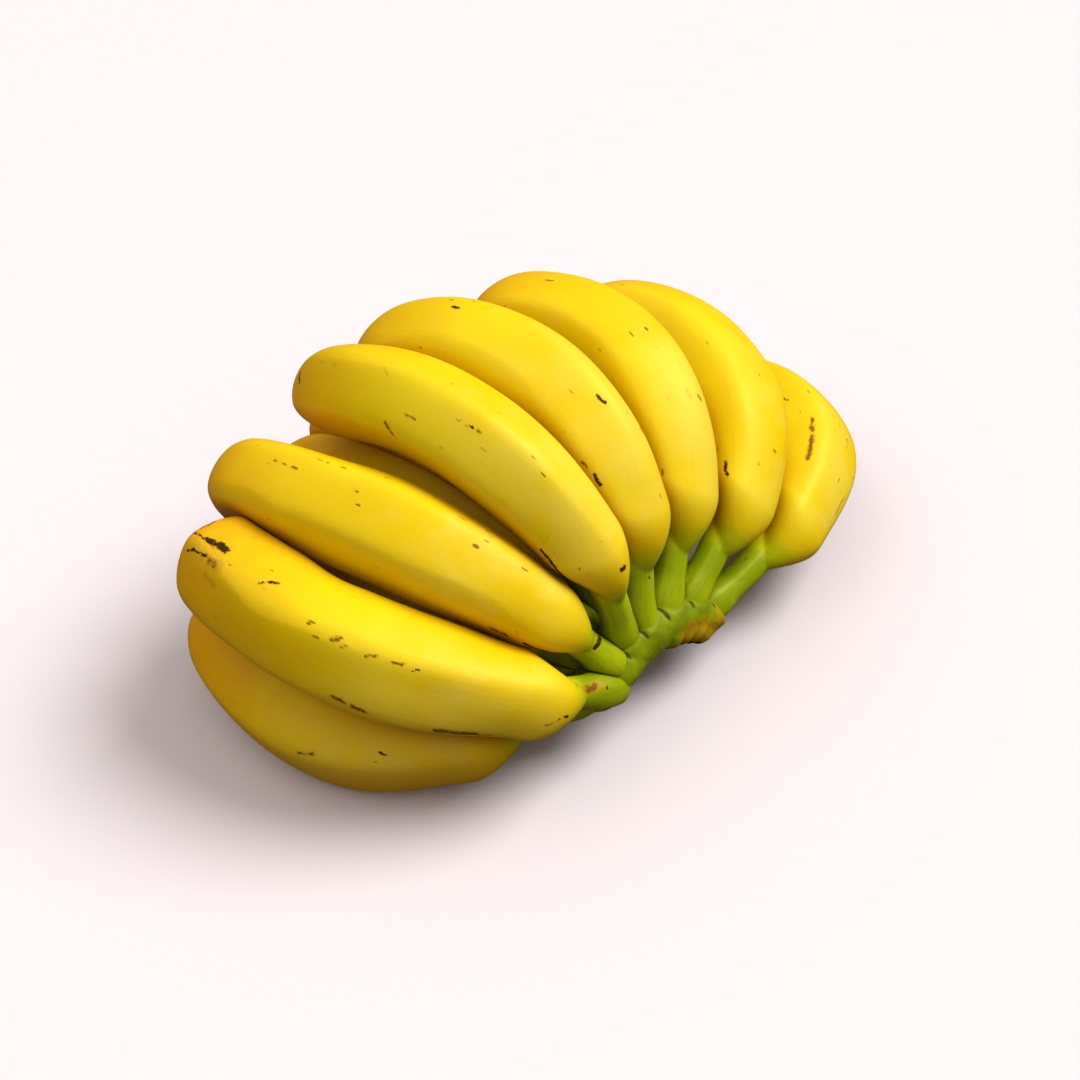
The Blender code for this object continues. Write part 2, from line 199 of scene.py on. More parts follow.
# outer fingers as listed, inner ones between their neighbours
def listFingers():
    outer = []
    for n, spec in enumerate(outerRow):
        outer.append(dict(
            spec, outer=1, name="outer_finger_%d" % (n + 1),
            stem=spec["stem"] / 1000, foot=spec["foot"] / 1000,
            length=hand["outerLength"] * spec["long"], radius=hand["outerGirth"] * spec["wide"] / 2,
        ))
    inner = []
    for n, (a, b) in enumerate(zip(outer[:-1], outer[1:])):
        half = {key: (a[key] + b[key]) / 2 for key in ("fan", "seat", "stem", "foot", "roll", "tone")}
        inner.append(dict(
            outer=0, name="inner_finger_%d" % (n + 1), fan=half["fan"], roll=half["roll"], lean=0, sweep=0,
            seat=half["seat"] + hand["innerShift"], foot=half["foot"] + hand["rowSpacing"],
            stem=half["stem"] * hand["innerStem"], tone=hand["innerTone"] + half["tone"], marks=innerMarks,
            tilt=hand["innerTilt"], neck=hand["innerNeck"], bend=hand["innerBend"], tip=hand["innerTip"],
            length=hand["innerLength"], radius=hand["innerGirth"] / 2,
        ))
    return outer + inner


# the finger's bent middle line, from inside the crown to the blossom end
def addPath(f):
    root = hand["crownRoot"]
    stemEnd = root + f["stem"]
    bodyStart = stemEnd + hand["neckLength"]
    total = bodyStart + f["length"] + hand["nubLength"]
    s = np.linspace(0.0, total, 160)
    pastStem = np.clip((s - stemEnd) / (total - stemEnd), 0, 1)
    turn = f["tilt"] + f["neck"] * np.clip(s / bodyStart, 0, 1)
    turn = np.radians(turn + f["bend"] * np.clip((s - bodyStart) / f["length"], 0, 1))[:, None]
    side = np.radians(f["lean"] + f["sweep"] * pastStem)[:, None]
    out = radial(f["fan"])
    across = radial(f["fan"] + 90)
    direction = np.cos(side) * (np.cos(turn) * out + np.sin(turn) * tipward) + np.sin(side) * across
    outward = np.sin(turn) * out - np.cos(turn) * tipward
    steps = (direction[1:] + direction[:-1]) / 2 * np.diff(s)[:, None]
    foot = hand["crownRadius"] * radial(f["seat"]) + f["foot"] * tipward - root * direction[0]
    points = foot + np.vstack([np.zeros(3), np.cumsum(steps, axis=0)])
    f.update(s=s, direction=direction, outward=outward, points=points)
    f.update(stemEnd=stemEnd, bodyStart=bodyStart, bodyEnd=bodyStart + f["length"], total=total)
    f["radii"] = radiusAt(f, s, 0.0)


# back is 1 on the convex back of the finger and -1 on its belly
def radiusAt(f, s, back):
    ease = hand["shoulderEase"] - hand["shoulderSkew"] * back
    shoulder = smoothStep((s - f["stemEnd"] + hand["shoulderLead"] * back) / hand["neckLength"]) ** ease
    along = np.clip((s - f["bodyStart"]) / f["length"], 0, 1)
    swell = np.sin(math.pi / 2 * np.clip(along / hand["swellEnd"], 0, 1)) ** hand["swellEase"]
    taper = np.clip((along - hand["taperStart"]) / (1 - hand["taperStart"]), 0, 1) ** 2
    radius = hand["stemRadius"] + (f["radius"] * hand["bodyStartShare"] - hand["stemRadius"]) * shoulder
    radius = radius * (1 + hand["swell"] * swell) * (1 - hand["taper"] * taper)
    closing = 1 - np.clip((1 - along) / f["tip"], 0, 1)
    dome = (1 - closing ** hand["domePower"]) ** hand["domeRoundness"]
    nub = np.clip((s - f["bodyEnd"]) / hand["nubLength"], 0, 1)
    flare = 1 + hand["flare"] * smoothStep(1 - (s - hand["crownRoot"]) / hand["flareLength"])
    domed = hand["tipRadius"] + (radius - hand["tipRadius"]) * dome
    return domed * (1 - hand["nubTaper"] * nub ** 3) * flare


# middle, forward direction, and a ray for every turn, at each place along the finger
def framesAt(f, s, turn):
    def at(key):
        return np.column_stack([np.interp(s, f["s"], f[key][:, k]) for k in range(3)])
    centre, forward, outward = at("points"), at("direction"), at("outward")
    forward /= np.linalg.norm(forward, axis=1)[:, None]
    outward -= forward * (outward * forward).sum(axis=1)[:, None]
    outward /= np.linalg.norm(outward, axis=1)[:, None]
    sideways = np.cross(forward, outward)
    turn = turn[None, :, None]
    rays = outward[:, None, :] * np.cos(turn) + sideways[:, None, :] * np.sin(turn)
    return centre, forward, rays


# distance from each point to the finger's plain skin
def nearness(points, f):
    path, radii = f["points"][::2], f["radii"][::2]
    squares = (points ** 2).sum(1)[:, None] + (path ** 2).sum(1)[None, :] - 2 * points @ path.T
    return (np.sqrt(np.maximum(squares, 0)) - radii[None, :]).min(axis=1)


def neighboursOf(f, everyone):
    start, end = f["points"].min(0) - peelShape["reach"], f["points"].max(0) + peelShape["reach"]
    others = []
    for g in everyone:
        if g is not f and (g["points"].min(0) < end).all() and (g["points"].max(0) > start).all():
            others.append(g)
    return others


# how far each part of the skin may stand out before it meets a neighbour, on a coarse grid
def pressedShare(f, everyone):
    sides = peelShape["coarseSides"]
    s = np.linspace(0, f["total"], peelShape["coarseRings"])
    turn = np.radians(np.arange(sides) * 360.0 / sides + f["roll"])
    centre, _, rays = framesAt(f, s, turn)
    rays = rays.reshape(-1, 3)
    wanted = radiusAt(f, s[:, None], np.cos(turn)[None, :]) * (1 + peelShape["ridge"])
    origins = np.repeat(centre, sides, axis=0)
    full = wanted.ravel()
    low = np.zeros(len(full))
    high = full.copy()
    others = neighboursOf(f, everyone)

    def clear(lengths, which):
        tips = origins[which] + rays[which] * lengths[which, None]
        own = nearness(tips, f)
        good = np.ones(len(tips), bool)
        for g in others:
            favour = (f["outer"] - g["outer"]) * peelShape["yieldBy"]  # the inner row gives way to the outer
            good &= nearness(tips, g) + favour - own > peelShape["press"]
        return good

    untouched = clear(high, np.arange(len(full)))
    tight = np.where(~untouched)[0]
    for _ in range(peelShape["searchSteps"]):
        middle = (low + high) / 2
        good = clear(middle, tight)
        low[tight] = np.where(good, middle[tight], low[tight])
        high[tight] = np.where(good, high[tight], middle[tight])
    share = np.where(untouched, 1.0, low / full).reshape(wanted.shape)
    tips = origins + rays * (full * share.ravel())[:, None]
    gap = np.min([nearness(tips, g) for g in others], axis=0).reshape(wanted.shape)
    return s, share, gap


# coarse grid to the fine one, softened so that no facet shows
def spreadShare(s, share, fineS, sides):
    columns = np.column_stack([np.interp(fineS, s, share[:, k]) for k in range(share.shape[1])])
    place = np.arange(sides) * share.shape[1] / sides
    first = place.astype(int)
    part = place - first
    fine = columns[:, first] * (1 - part) + columns[:, (first + 1) % share.shape[1]] * part
    for _ in range(peelShape["soften"]):
        blurred = (np.roll(fine, 1, axis=1) + np.roll(fine, -1, axis=1)) / 2
        padded = np.pad(fine, ((1, 1), (0, 0)), mode="edge")
        blurred = (blurred + (padded[:-2] + padded[2:]) / 2) / 2
        fine = np.minimum(fine * 0.3 + blurred * 0.7, 1.0)
    return fine


# rings close together on the rounded tip
def ringPlaces(f):
    tip = f["bodyEnd"] - peelShape["domeLength"]
    body = np.linspace(0, tip, peelShape["bodyRings"], endpoint=False)
    dome = tip + peelShape["domeLength"] * np.sin(np.linspace(0, math.pi / 2, peelShape["domeRings"]))
    nub = f["bodyEnd"] + hand["nubLength"] * np.linspace(0, 1, peelShape["nubRings"] + 1)[1:]
    return np.concatenate([body, dome, nub])


# 1 along the middle of a stroke, 0 at its edge, below 0 outside; distances in mm on the peel
def strokeField(f, s, turnDegrees, radii, wander, stroke):
    width, points = stroke[1], stroke[2:]
    best = np.full(radii.shape, -9.0)
    mm = radii * 1000
    for (b0, a0), (b1, a1) in zip(points[:-1], points[1:]):
        s0, s1 = f["bodyStart"] + b0 * f["length"], f["bodyStart"] + b1 * f["length"]
        du = (s[:, None] - s0) * 1000 + wander[0]
        dv = np.radians((turnDegrees[None, :] - a0 + 180) % 360 - 180) * mm + wander[1]
        eu, ev = (s1 - s0) * 1000, np.radians(a1 - a0) * mm
        t = np.clip((du * eu + dv * ev) / (eu * eu + ev * ev + 1e-6), 0, 1)
        away = np.sqrt((du - t * eu) ** 2 + (dv - t * ev) ** 2)
        best = np.maximum(best, 1 - away / (width / 2))
    return best


# slow smooth lumps from a few crossed sines
def waves(points, size, seed):
    rng = np.random.default_rng(seed)
    total = np.zeros(points.shape[:-1])
    for _ in range(7):
        way = rng.normal(size=3)
        way /= np.linalg.norm(way)
        total += np.sin(points @ way * (2 * math.pi / size) * rng.uniform(0.7, 1.6) + rng.uniform(0, 6.3))
    return total / 7 ** 0.5


# closed skin through a grid of rings, each end closed on its own middle point
def meshFrom(name, grid, caps, attributes):
    rings, sides = grid.shape[:2]
    verts = np.vstack([grid.reshape(-1, 3), caps])
    index = np.arange(rings * sides).reshape(rings, sides)
    nxt = np.roll(index, -1, axis=1)
    quads = np.stack([index[:-1], nxt[:-1], nxt[1:], index[1:]], axis=-1).reshape(-1, 4)
    first, last = rings * sides, rings * sides + 1
    startCap = np.stack([nxt[0], index[0], np.full(sides, first)], axis=-1)
    endCap = np.stack([index[-1], nxt[-1], np.full(sides, last)], axis=-1)
    mesh = bpy.data.meshes.new(name)
    mesh.vertices.add(len(verts))
    mesh.vertices.foreach_set("co", verts.astype(np.float32).ravel())
    loops = np.concatenate([quads.ravel(), startCap.ravel(), endCap.ravel()])
    sizes = np.concatenate([np.full(len(quads), 4), np.full(2 * sides, 3)])
    mesh.loops.add(len(loops))
    mesh.loops.foreach_set("vertex_index", loops.astype(np.int32))
    mesh.polygons.add(len(sizes))
    mesh.polygons.foreach_set("loop_start", np.concatenate([[0], np.cumsum(sizes)[:-1]]).astype(np.int32))
    mesh.polygons.foreach_set("loop_total", sizes.astype(np.int32))
    for key, values in attributes.items():
        kind = "FLOAT_VECTOR" if values.ndim == 3 else "FLOAT"
        ends = np.stack([values[0].mean(axis=0), values[-1].mean(axis=0)])
        flat = np.concatenate([values.reshape(rings * sides, -1), ends.reshape(2, -1)])
        layer = mesh.attributes.new(key, kind, "POINT")
        part = "vector" if kind == "FLOAT_VECTOR" else "value"
        layer.data.foreach_set(part, flat.astype(np.float32).ravel())
    mesh.update(calc_edges=True)
    mesh.validate()
    mesh.shade_smooth()
    piece = bpy.data.objects.new(name, mesh)
    bpy.context.scene.collection.objects.link(piece)
    return piece


# rounded five-sided section: +1 on the ridges and -1 in the middle of the flats
def pentagon(turn, sharp):
    sides = np.radians(np.arange(5) * 72.0 + 36.0)
    facing = np.maximum(np.cos(turn[..., None] - sides), 0)
    r = (facing ** sharp).sum(-1) ** (-1 / sharp)
    return (r - r.min()) / (r.max() - r.min()) * 2 - 1


# where the peel turns green, golden or dry, where it carries a painted highlight, and how far painted shade
# reaches from a neighbour: lengths in metres, shares of the body
peelFade = dict(
    greenLead=0.008, greenLength=0.0125, goldStart=0.38, goldEase=1.3, goldMost=0.85, toneShare=0.8,
    dryLead=0.0022, dryLength=0.0026, paintedHighlightEnd=0.15, paintedHighlightFade=0.45, paintedShadeReach=0.0055,
    wander=0.18, wanderSize=0.0032,
)


# values on the mesh that the peel's colours follow
def peelFields(n, f, s, turnDegrees, plain, straight, past):
    fade = peelFade
    fields = {kind: np.full(plain.shape, -9.0) for kind in ("black", "brown", "rub")}
    wander = [waves(straight, fade["wanderSize"], n + k) * fade["wander"] for k in (80, 120)]  # mm
    for stroke in f["marks"]:
        marked = strokeField(f, s, turnDegrees, plain, wander, stroke)
        fields[stroke[0]] = np.maximum(fields[stroke[0]], marked)
    fields = {kind: np.clip(values, -2, 1) for kind, values in fields.items()}
    body = (s - f["bodyStart"]) / f["length"]
    golden = np.clip((body - fade["goldStart"]) / (1 - fade["goldStart"]), 0, 1) ** fade["goldEase"]
    along = dict(
        green=np.clip(1 - (s - f["stemEnd"] + fade["greenLead"]) / fade["greenLength"], 0, 1),
        gold=np.clip(f["tone"] * fade["toneShare"] + fade["goldMost"] * golden, 0, 1),
        dry=np.clip((s - f["bodyEnd"] + fade["dryLead"]) / fade["dryLength"], 0, 1),
    )
    for kind, values in along.items():
        fields[kind] = values[:, None] * np.ones_like(plain)
    # painted highlight: pale on the back of each finger, strongest at the neck and fading along the body
    faded = past * (1 - smoothStep((body - fade["paintedHighlightEnd"]) / fade["paintedHighlightFade"]))
    fields["paintedHighlight"] = smoothStep(np.cos(np.radians(turnDegrees))) * faded[:, None]
    return fields


def buildFinger(n, f, everyone, place):
    s = ringPlaces(f)
    sides = peelShape["sides"]
    turnDegrees = np.arange(sides) * 360.0 / sides + f["roll"]
    turn = np.radians(turnDegrees)
    centre, forward, rays = framesAt(f, s, turn)
    plain = radiusAt(f, s[:, None], np.cos(turn)[None, :])
    past = smoothStep((s - f["stemEnd"]) / hand["neckLength"])
    tipLength = f["tip"] * f["length"]
    # ridges: faint on the stem, full on the body, fading toward the tip
    grown = smoothStep((s - f["bodyStart"]) / peelShape["ridgeGrowth"])
    fading = smoothStep((s - f["bodyEnd"] + tipLength) / tipLength)
    fullness = past * (peelShape["neckRidge"] + (1 - peelShape["neckRidge"]) * grown)
    fullness = peelShape["stemRidge"] * (1 - past) + fullness * (1 - peelShape["ridgeTipLoss"] * fading)
    ridge = pentagon(turn - math.radians(f["roll"]) + 0 * s[:, None], peelShape["sharp"]) * fullness[:, None]
    straight = np.stack([plain * np.cos(turn), plain * np.sin(turn), s[:, None] + 0 * plain], axis=-1)
    lumps = waves(straight + n * 0.37, peelShape["lumpSize"], n) * past[:, None] * peelShape["lump"]
    coarseS, share, gap = pressedShare(f, everyone)
    share = spreadShare(coarseS, share, s, sides)
    # painted shade: near is 1 where the skin touches a neighbour and falls off with the gap, to darken the
    # colour in those creases
    near = spreadShare(coarseS, np.exp(-np.maximum(gap, 0) / peelFade["paintedShadeReach"]), s, sides)
    radii = plain * (1 + peelShape["ridge"] * ridge) + lumps
    radii = np.minimum(radii, plain * (1 + peelShape["ridge"]) * share) * 0.7 + radii * share * 0.3
    nubbed = np.clip((s - f["bodyEnd"] + 0.001) / 0.003, 0, 1)[:, None]
    dents = waves(straight, peelShape["tipDentSize"], n + 50) * nubbed
    radii = radii * (1 + peelShape["tipDents"] * dents)
    grid = centre[:, None, :] + rays * radii[:, :, None]
    caps = np.stack([centre[0], centre[-1] - forward[-1] * 0.0006])
    fields = peelFields(n, f, s, turnDegrees, plain, straight, past)
    fields.update(straight=straight + np.array([0.13, 0.29, 0.41]) * (n + 1), ridge=ridge, near=near)
    return meshFrom("peel_" + f["name"], place(grid), place(caps), fields)


# crown: a thick curved pad, knuckled along its lower rim, dry where it was cut
crownShape = dict(
    rings=180, sides=112, knuckle=0.0017, knuckles=(3.0, 15.0, 27.5, 40.0), knuckleWidth=6.4, knuckleEase=0.7,
    lump=0.00010, lumpSize=0.008, pebble=0.00005, pebbleSize=0.0028, fibre=0.00018, fibreSize=0.0013,
    creaseDepth=0.0005, creaseDrop=0.0008, creaseHeight=0.0022, creaseSpan=1.7,
    cutDepth=0.0022, cutEnd=54.0, cutEndHeight=0.032, rimWidth=0.0020, fillet=0.0024, filletReach=0.0026,
)


def crownRings(outer, rings, sides, bulge=0.0):
    seats = np.array([f["seat"] for f in outer], float)
    bow = np.polyfit(seats, [f["foot"] for f in outer], 2)
    first, last = min(seats) - hand["crownPast"][0], max(seats) + hand["crownPast"][1]
    halfThick, halfWide = hand["crownThickness"] / 2, hand["crownWidth"] / 2
    power, endShare = hand["crownSquareness"], hand["crownEndShare"]
    a = np.arange(sides) * 2 * math.pi / sides
    ca, sa = np.cos(a), np.sin(a)
    box = 1 / (abs(ca) ** power + abs(sa) ** power) ** (1 / power)
    lowSide = smoothStep(-ca * 0.9 + 0.25) * smoothStep(0.9 - 1.1 * sa)
    grid = []
    for n in range(rings):
        swing = -math.cos(math.pi * n / (rings - 1))
        angle = (first + last) / 2 + (last - first) / 2 * swing
        fullness = endShare + (1 - endShare) * max(0.0, 1 - abs(swing) ** hand["crownEndRounding"]) ** 0.5
        out = radial(angle)
        shifted = np.polyval(bow, angle) + hand["rowSpacing"] / 2
        middle = (hand["crownRadius"] - halfThick) * out + shifted * tipward
        near = np.abs(angle - np.array(crownShape["knuckles"])).min() / crownShape["knuckleWidth"]
        rise = math.cos(min(near, 1.0) * math.pi / 2) ** crownShape["knuckleEase"]
        knuckle = bulge * rise * lowSide
        high = halfThick * fullness * ca * box + knuckle * ca
        wide = halfWide * fullness * sa * box + knuckle * sa
        grid.append(middle + out * high[:, None] + tipward * wide[:, None])
    return np.array(grid)


def outwardNormals(grid):
    around = np.roll(grid, -1, axis=1) - np.roll(grid, 1, axis=1)
    normals = np.cross(np.gradient(grid, axis=0), around)
    normals /= np.linalg.norm(normals, axis=-1, keepdims=True) + 1e-12
    middle = grid.mean(axis=1, keepdims=True)
    return normals * np.sign((normals * (grid - middle)).sum(-1, keepdims=True))


# dry cut face, creases between the stems, worn rim and golden parts, each 0 to 1
def crownFields(grid, outer):
    shape = crownShape
    angle = np.degrees(np.arctan2(grid[..., 1], grid[..., 2]))
    height = np.hypot(grid[..., 1], grid[..., 2])
    inner = hand["crownRadius"] - hand["crownThickness"]
    cut = smoothStep((inner + shape["cutDepth"] - height) / shape["cutDepth"])
    lowEnd = smoothStep((shape["cutEndHeight"] - height) / 0.003)
    cut = np.maximum(cut, smoothStep((angle - shape["cutEnd"]) / 1.5) * lowEnd)
    seats = np.array([f["seat"] for f in outer], float)
    notches = (seats[1:] + seats[:-1]) / 2
    crease = smoothStep(1.2 - np.abs(angle[..., None] - notches).min(-1) / shape["creaseSpan"])
    belowRim = np.abs(height - hand["crownRadius"] + shape["creaseDrop"])
    crease = crease * smoothStep(1.2 - belowRim / shape["creaseHeight"])
    rim = smoothStep(1 - np.abs(height - inner - shape["cutDepth"]) / shape["rimWidth"]) * (1 - cut)
    low = smoothStep((hand["crownRadius"] - 0.0015 - height) / 0.006)
    golden = smoothStep((angle + 8) / 24) * np.maximum(low, smoothStep((angle - 30) / 14))
    golden = np.clip(golden + 0.8 * smoothStep((-48 - angle) / 8), 0, 1)
    return dict(cut=cut, crease=crease, rim=rim, golden=golden), height - inner


def buildCrown(outer, everyone, place):
    shape = crownShape
    grid = crownRings(outer, shape["rings"], shape["sides"], shape["knuckle"])
    normals = outwardNormals(grid)
    flat = grid.reshape(-1, 3)
    gap = np.min([nearness(flat, f) for f in everyone], axis=0).reshape(grid.shape[:2])
    fields, above = crownFields(grid, outer)
    lumps = waves(grid, shape["lumpSize"], 3) * shape["lump"]
    lumps = lumps + waves(grid, shape["pebbleSize"], 5) * shape["pebble"]
    grid = grid + normals * lumps[..., None]
    fibres = waves(grid * np.array([1.0, 0.35, 0.35]), shape["fibreSize"], 9) * shape["fibre"] * fields["cut"]
    grid = grid + normals * fibres[..., None]
    grid = grid - normals * (fields["crease"] * shape["creaseDepth"])[..., None]
    # a gentle web of flesh where the stems' feet come close
    web = np.exp(-np.maximum(gap, 0) / shape["filletReach"]) * smoothStep((above - 0.003) / 0.008)
    grid = grid + normals * (web * shape["fillet"])[..., None]
    ends = np.stack([grid[0].mean(0), grid[-1].mean(0)])
    return meshFrom("crown_skin", place(grid), place(ends), fields)


def newTree(name):
    material = bpy.data.materials.new(name)
    material.use_nodes = True
    return material, material.node_tree, material.node_tree.nodes["Principled BSDF"]


def feed(tree, socket, value):
    if isinstance(value, bpy.types.NodeSocket):
        tree.links.new(value, socket)
    else:
        socket.default_value = value


def field(tree, name, vector=False):
    node = tree.nodes.new("ShaderNodeAttribute")
    node.attribute_name = name
    return node.outputs["Vector" if vector else "Fac"]


def calc(tree, operation, a, b=0.0, clamp=False):
    node = tree.nodes.new("ShaderNodeMath")
    node.operation = operation
    node.use_clamp = clamp
    feed(tree, node.inputs[0], a)
    feed(tree, node.inputs[1], b)
    return node.outputs[0]


def times(tree, a, b):
    return calc(tree, "MULTIPLY", a, b)


def plus(tree, a, b, clamp=False):
    return calc(tree, "ADD", a, b, clamp)


# a noise made to swing about zero
def sway(tree, noise, amount):
    return times(tree, calc(tree, "SUBTRACT", noise, 0.5), amount)


def stretch(tree, vector, scale):
    node = tree.nodes.new("ShaderNodeMapping")
    feed(tree, node.inputs["Vector"], vector)
    node.inputs["Scale"].default_value = scale
    return node.outputs[0]


def grain(tree, vector, scale, detail=3.0, rough=0.55, warp=0.0):
    node = tree.nodes.new("ShaderNodeTexNoise")
    feed(tree, node.inputs["Vector"], vector)
    node.inputs["Scale"].default_value = scale
    node.inputs["Detail"].default_value = detail
    node.inputs["Roughness"].default_value = rough
    node.inputs["Distortion"].default_value = warp
    return node.outputs["Fac"]


# 0 below low, 1 above high
def between(tree, value, low, high):
    node = tree.nodes.new("ShaderNodeMapRange")
    node.interpolation_type = "SMOOTHSTEP"
    feed(tree, node.inputs["Value"], value)
    node.inputs["From Min"].default_value = low
    node.inputs["From Max"].default_value = high
    return node.outputs[0]


def blendColour(tree, share, a, b, how="MIX"):
    node = tree.nodes.new("ShaderNodeMix")
    node.data_type = "RGBA"
    node.blend_type = how
    feed(tree, node.inputs[0], share)
    for socket, value in ((node.inputs[6], a), (node.inputs[7], b)):
        if isinstance(value, bpy.types.NodeSocket):
            tree.links.new(value, socket)
        else:
            socket.default_value = (*value, 1.0)
    return node.outputs[2]


# a tint laid over the colour where share is high, at most to this amount
def paint(tree, colour, share, tint, amount, how="MIX"):
    return blendColour(tree, times(tree, share, amount), colour, tint, how)


# dots in a few cells: share of the cells that hold one, size as a share of a cell
def specks(tree, vector, scale, share, size):
    node = tree.nodes.new("ShaderNodeTexVoronoi")
    feed(tree, node.inputs["Vector"], vector)
    node.inputs["Scale"].default_value = scale
    split = tree.nodes.new("ShaderNodeSeparateColor")
    feed(tree, split.inputs[0], node.outputs["Color"])
    chosen = calc(tree, "LESS_THAN", split.outputs[0], share)
    reach = times(tree, plus(tree, split.outputs[1], 0.35), size)
    near = between(tree, calc(tree, "SUBTRACT", reach, node.outputs["Distance"]), 0.0, size * 0.45)
    return times(tree, near, chosen)


def roughen(tree, shader, height, strength, distance):
    bump = tree.nodes.new("ShaderNodeBump")
    bump.inputs["Strength"].default_value = strength
    bump.inputs["Distance"].default_value = distance
    feed(tree, bump.inputs["Height"], height)
    feed(tree, shader.inputs["Normal"], bump.outputs[0])


# peel colours; pale is a painted highlight, crevice and under are painted shade tints
peelLook = dict(
    yellow=(0.885, 0.610, 0.001), lemon=(0.905, 0.680, 0.002), golden=(0.830, 0.400, 0.001),
    ridge=(0.88, 0.66, 0.02), fibre=(0.62, 0.42, 0.01), mottle=(0.95, 0.80, 0.10), pale=(0.920, 0.730, 0.150),
    neck=(0.600, 0.600, 0.002), stem=(0.270, 0.370, 0.001), paleStem=(0.430, 0.520, 0.002),
    deepStem=(0.150, 0.210, 0.001), dry=(0.040, 0.022, 0.010),
    tan=(0.520, 0.230, 0.006), brown=(0.150, 0.042, 0.001), black=(0.026, 0.008, 0.001),
    rub=(0.520, 0.280, 0.008), paintedCreviceShade=(0.50, 0.28, 0.02), under=(0.74, 0.60, 0.03),
    shine=(1.0, 0.86, 0.24), inside=(1.0, 0.55, 0.05),
    roughness=0.47, coat=0.03, coatRoughness=0.35, subsurface=0.05, depth=0.003, specular=0.38,
    bump=0.35, bumpDepth=0.00022,
)

# how strongly each layer is laid on, painted highlight and painted shade among them
peelLayers = dict(
    ridge=0.22, deepStem=0.35, fibre=0.20, mottle=0.16, paintedHighlight=0.32, rub=0.55, tanAtBrown=0.50, brown=0.85,
    tanAtBlack=0.40, dust=0.45, dots=0.85, crumbs=0.70, near=0.70, under=0.55,
)


def peelGrains(tree, straight):
    return dict(
        broad=grain(tree, straight, 26.0, 2.0),
        mottled=grain(tree, straight, 95.0, 3.0, 0.6),
        fibre=grain(tree, stretch(tree, straight, (1.0, 1.0, 0.045)), 900.0, 2.0, 0.5),
        fine=grain(tree, straight, 1500.0, 2.0, 0.5),
        dimples=grain(tree, straight, 240.0, 3.0, 0.6),
        ragged=sway(tree, grain(tree, straight, 780.0, 5.0, 0.72), 3.4),
    )


# yellow, lemon in broad patches, golden toward the tip, worn along the ridges
def ripeColour(tree, grains):
    look = peelLook
    colour = blendColour(tree, between(tree, grains["broad"], 0.36, 0.66), look["yellow"], look["lemon"])
    goldShare = plus(tree, field(tree, "gold"), sway(tree, grains["mottled"], 0.5))
    colour = blendColour(tree, between(tree, goldShare, 0.05, 1.05), colour, look["golden"])
    worn = between(tree, field(tree, "ridge"), 0.45, 1.0)
    return paint(tree, colour, worn, look["ridge"], peelLayers["ridge"])


# green stalk, broken into the yellow along its fibres; also gives where it is green
def stalkColour(tree, colour, grains):
    look = peelLook
    greenness = plus(tree, field(tree, "green"), sway(tree, grains["fibre"], 0.35))
    greenness = plus(tree, greenness, times(tree, field(tree, "ridge"), 0.05))
    colour = blendColour(tree, between(tree, greenness, 0.05, 0.55), colour, look["neck"])
    stalk = blendColour(tree, between(tree, grains["broad"], 0.42, 0.62), look["stem"], look["paleStem"])
    stalk = blendColour(tree, between(tree, field(tree, "ridge"), 0.1, 0.9), stalk, look["paleStem"])
    threads = between(tree, grains["fibre"], 0.50, 0.75)
    stalk = paint(tree, stalk, threads, look["deepStem"], peelLayers["deepStem"])
    stalked = between(tree, greenness, 0.45, 0.98)
    return blendColour(tree, stalked, colour, stalk), stalked


# fibres and mottling in the colour itself, and a faint painted highlight on the back of each finger near its
# neck
def fibreMottleAndPaintedHighlight(tree, colour, grains):
    look, layers = peelLook, peelLayers
    colour = paint(tree, colour, between(tree, grains["fibre"], 0.55, 0.85), look["fibre"], layers["fibre"])
    mottle = between(tree, grains["mottled"], 0.58, 0.80)
    colour = paint(tree, colour, mottle, look["mottle"], layers["mottle"])
    # painted highlight: pale colour laid in patches on the back of each finger near its neck
    patches = between(tree, plus(tree, grains["broad"], grains["mottled"]), 0.72, 1.20)
    return paint(tree, colour, times(tree, field(tree, "paintedHighlight"), patches), look["pale"], layers["paintedHighlight"])


# rubs, bruises and scars; also gives where the skin is bruised and scarred
def markColour(tree, colour, ragged):
    look, layers = peelLook, peelLayers
    rub = plus(tree, field(tree, "rub"), ragged)
    colour = paint(tree, colour, between(tree, rub, -0.35, 0.75), look["rub"], layers["rub"])
    brown = plus(tree, field(tree, "brown"), ragged)
    colour = paint(tree, colour, between(tree, brown, -0.70, 0.25), look["tan"], layers["tanAtBrown"])
    bruised = between(tree, brown, 0.00, 0.60)
    colour = paint(tree, colour, bruised, look["brown"], layers["brown"])
    halo = between(tree, plus(tree, field(tree, "black"), ragged), -0.75, 0.10)
    colour = paint(tree, colour, halo, look["tan"], layers["tanAtBlack"])
    scarred = between(tree, plus(tree, field(tree, "black"), times(tree, ragged, 0.75)), -0.15, 0.30)
    colour = blendColour(tree, scarred, colour, look["black"])
    return colour, bruised, scarred


# small spots and dust, gathered in patches and along the ridges
def speckColour(tree, colour, straight):
    look, layers = peelLook, peelLayers
    gathered = plus(tree, grain(tree, straight, 42.0, 2.0), times(tree, field(tree, "ridge"), 0.05))
    gathered = between(tree, gathered, 0.47, 0.60)
    dust = between(tree, grain(tree, stretch(tree, straight, (1.0, 1.0, 0.55)), 310.0, 6.0, 0.78), 0.60, 0.74)
    dots = specks(tree, stretch(tree, straight, (1.0, 1.0, 0.62)), 210.0, 0.18, 0.14)
    crumbs = specks(tree, stretch(tree, straight, (1.0, 1.0, 0.35)), 620.0, 0.09, 0.26)
    colour = paint(tree, colour, times(tree, dust, gathered), look["tan"], layers["dust"])
    colour = paint(tree, colour, times(tree, dots, gathered), look["brown"], layers["dots"])
    return paint(tree, colour, times(tree, crumbs, gathered), look["brown"], layers["crumbs"])
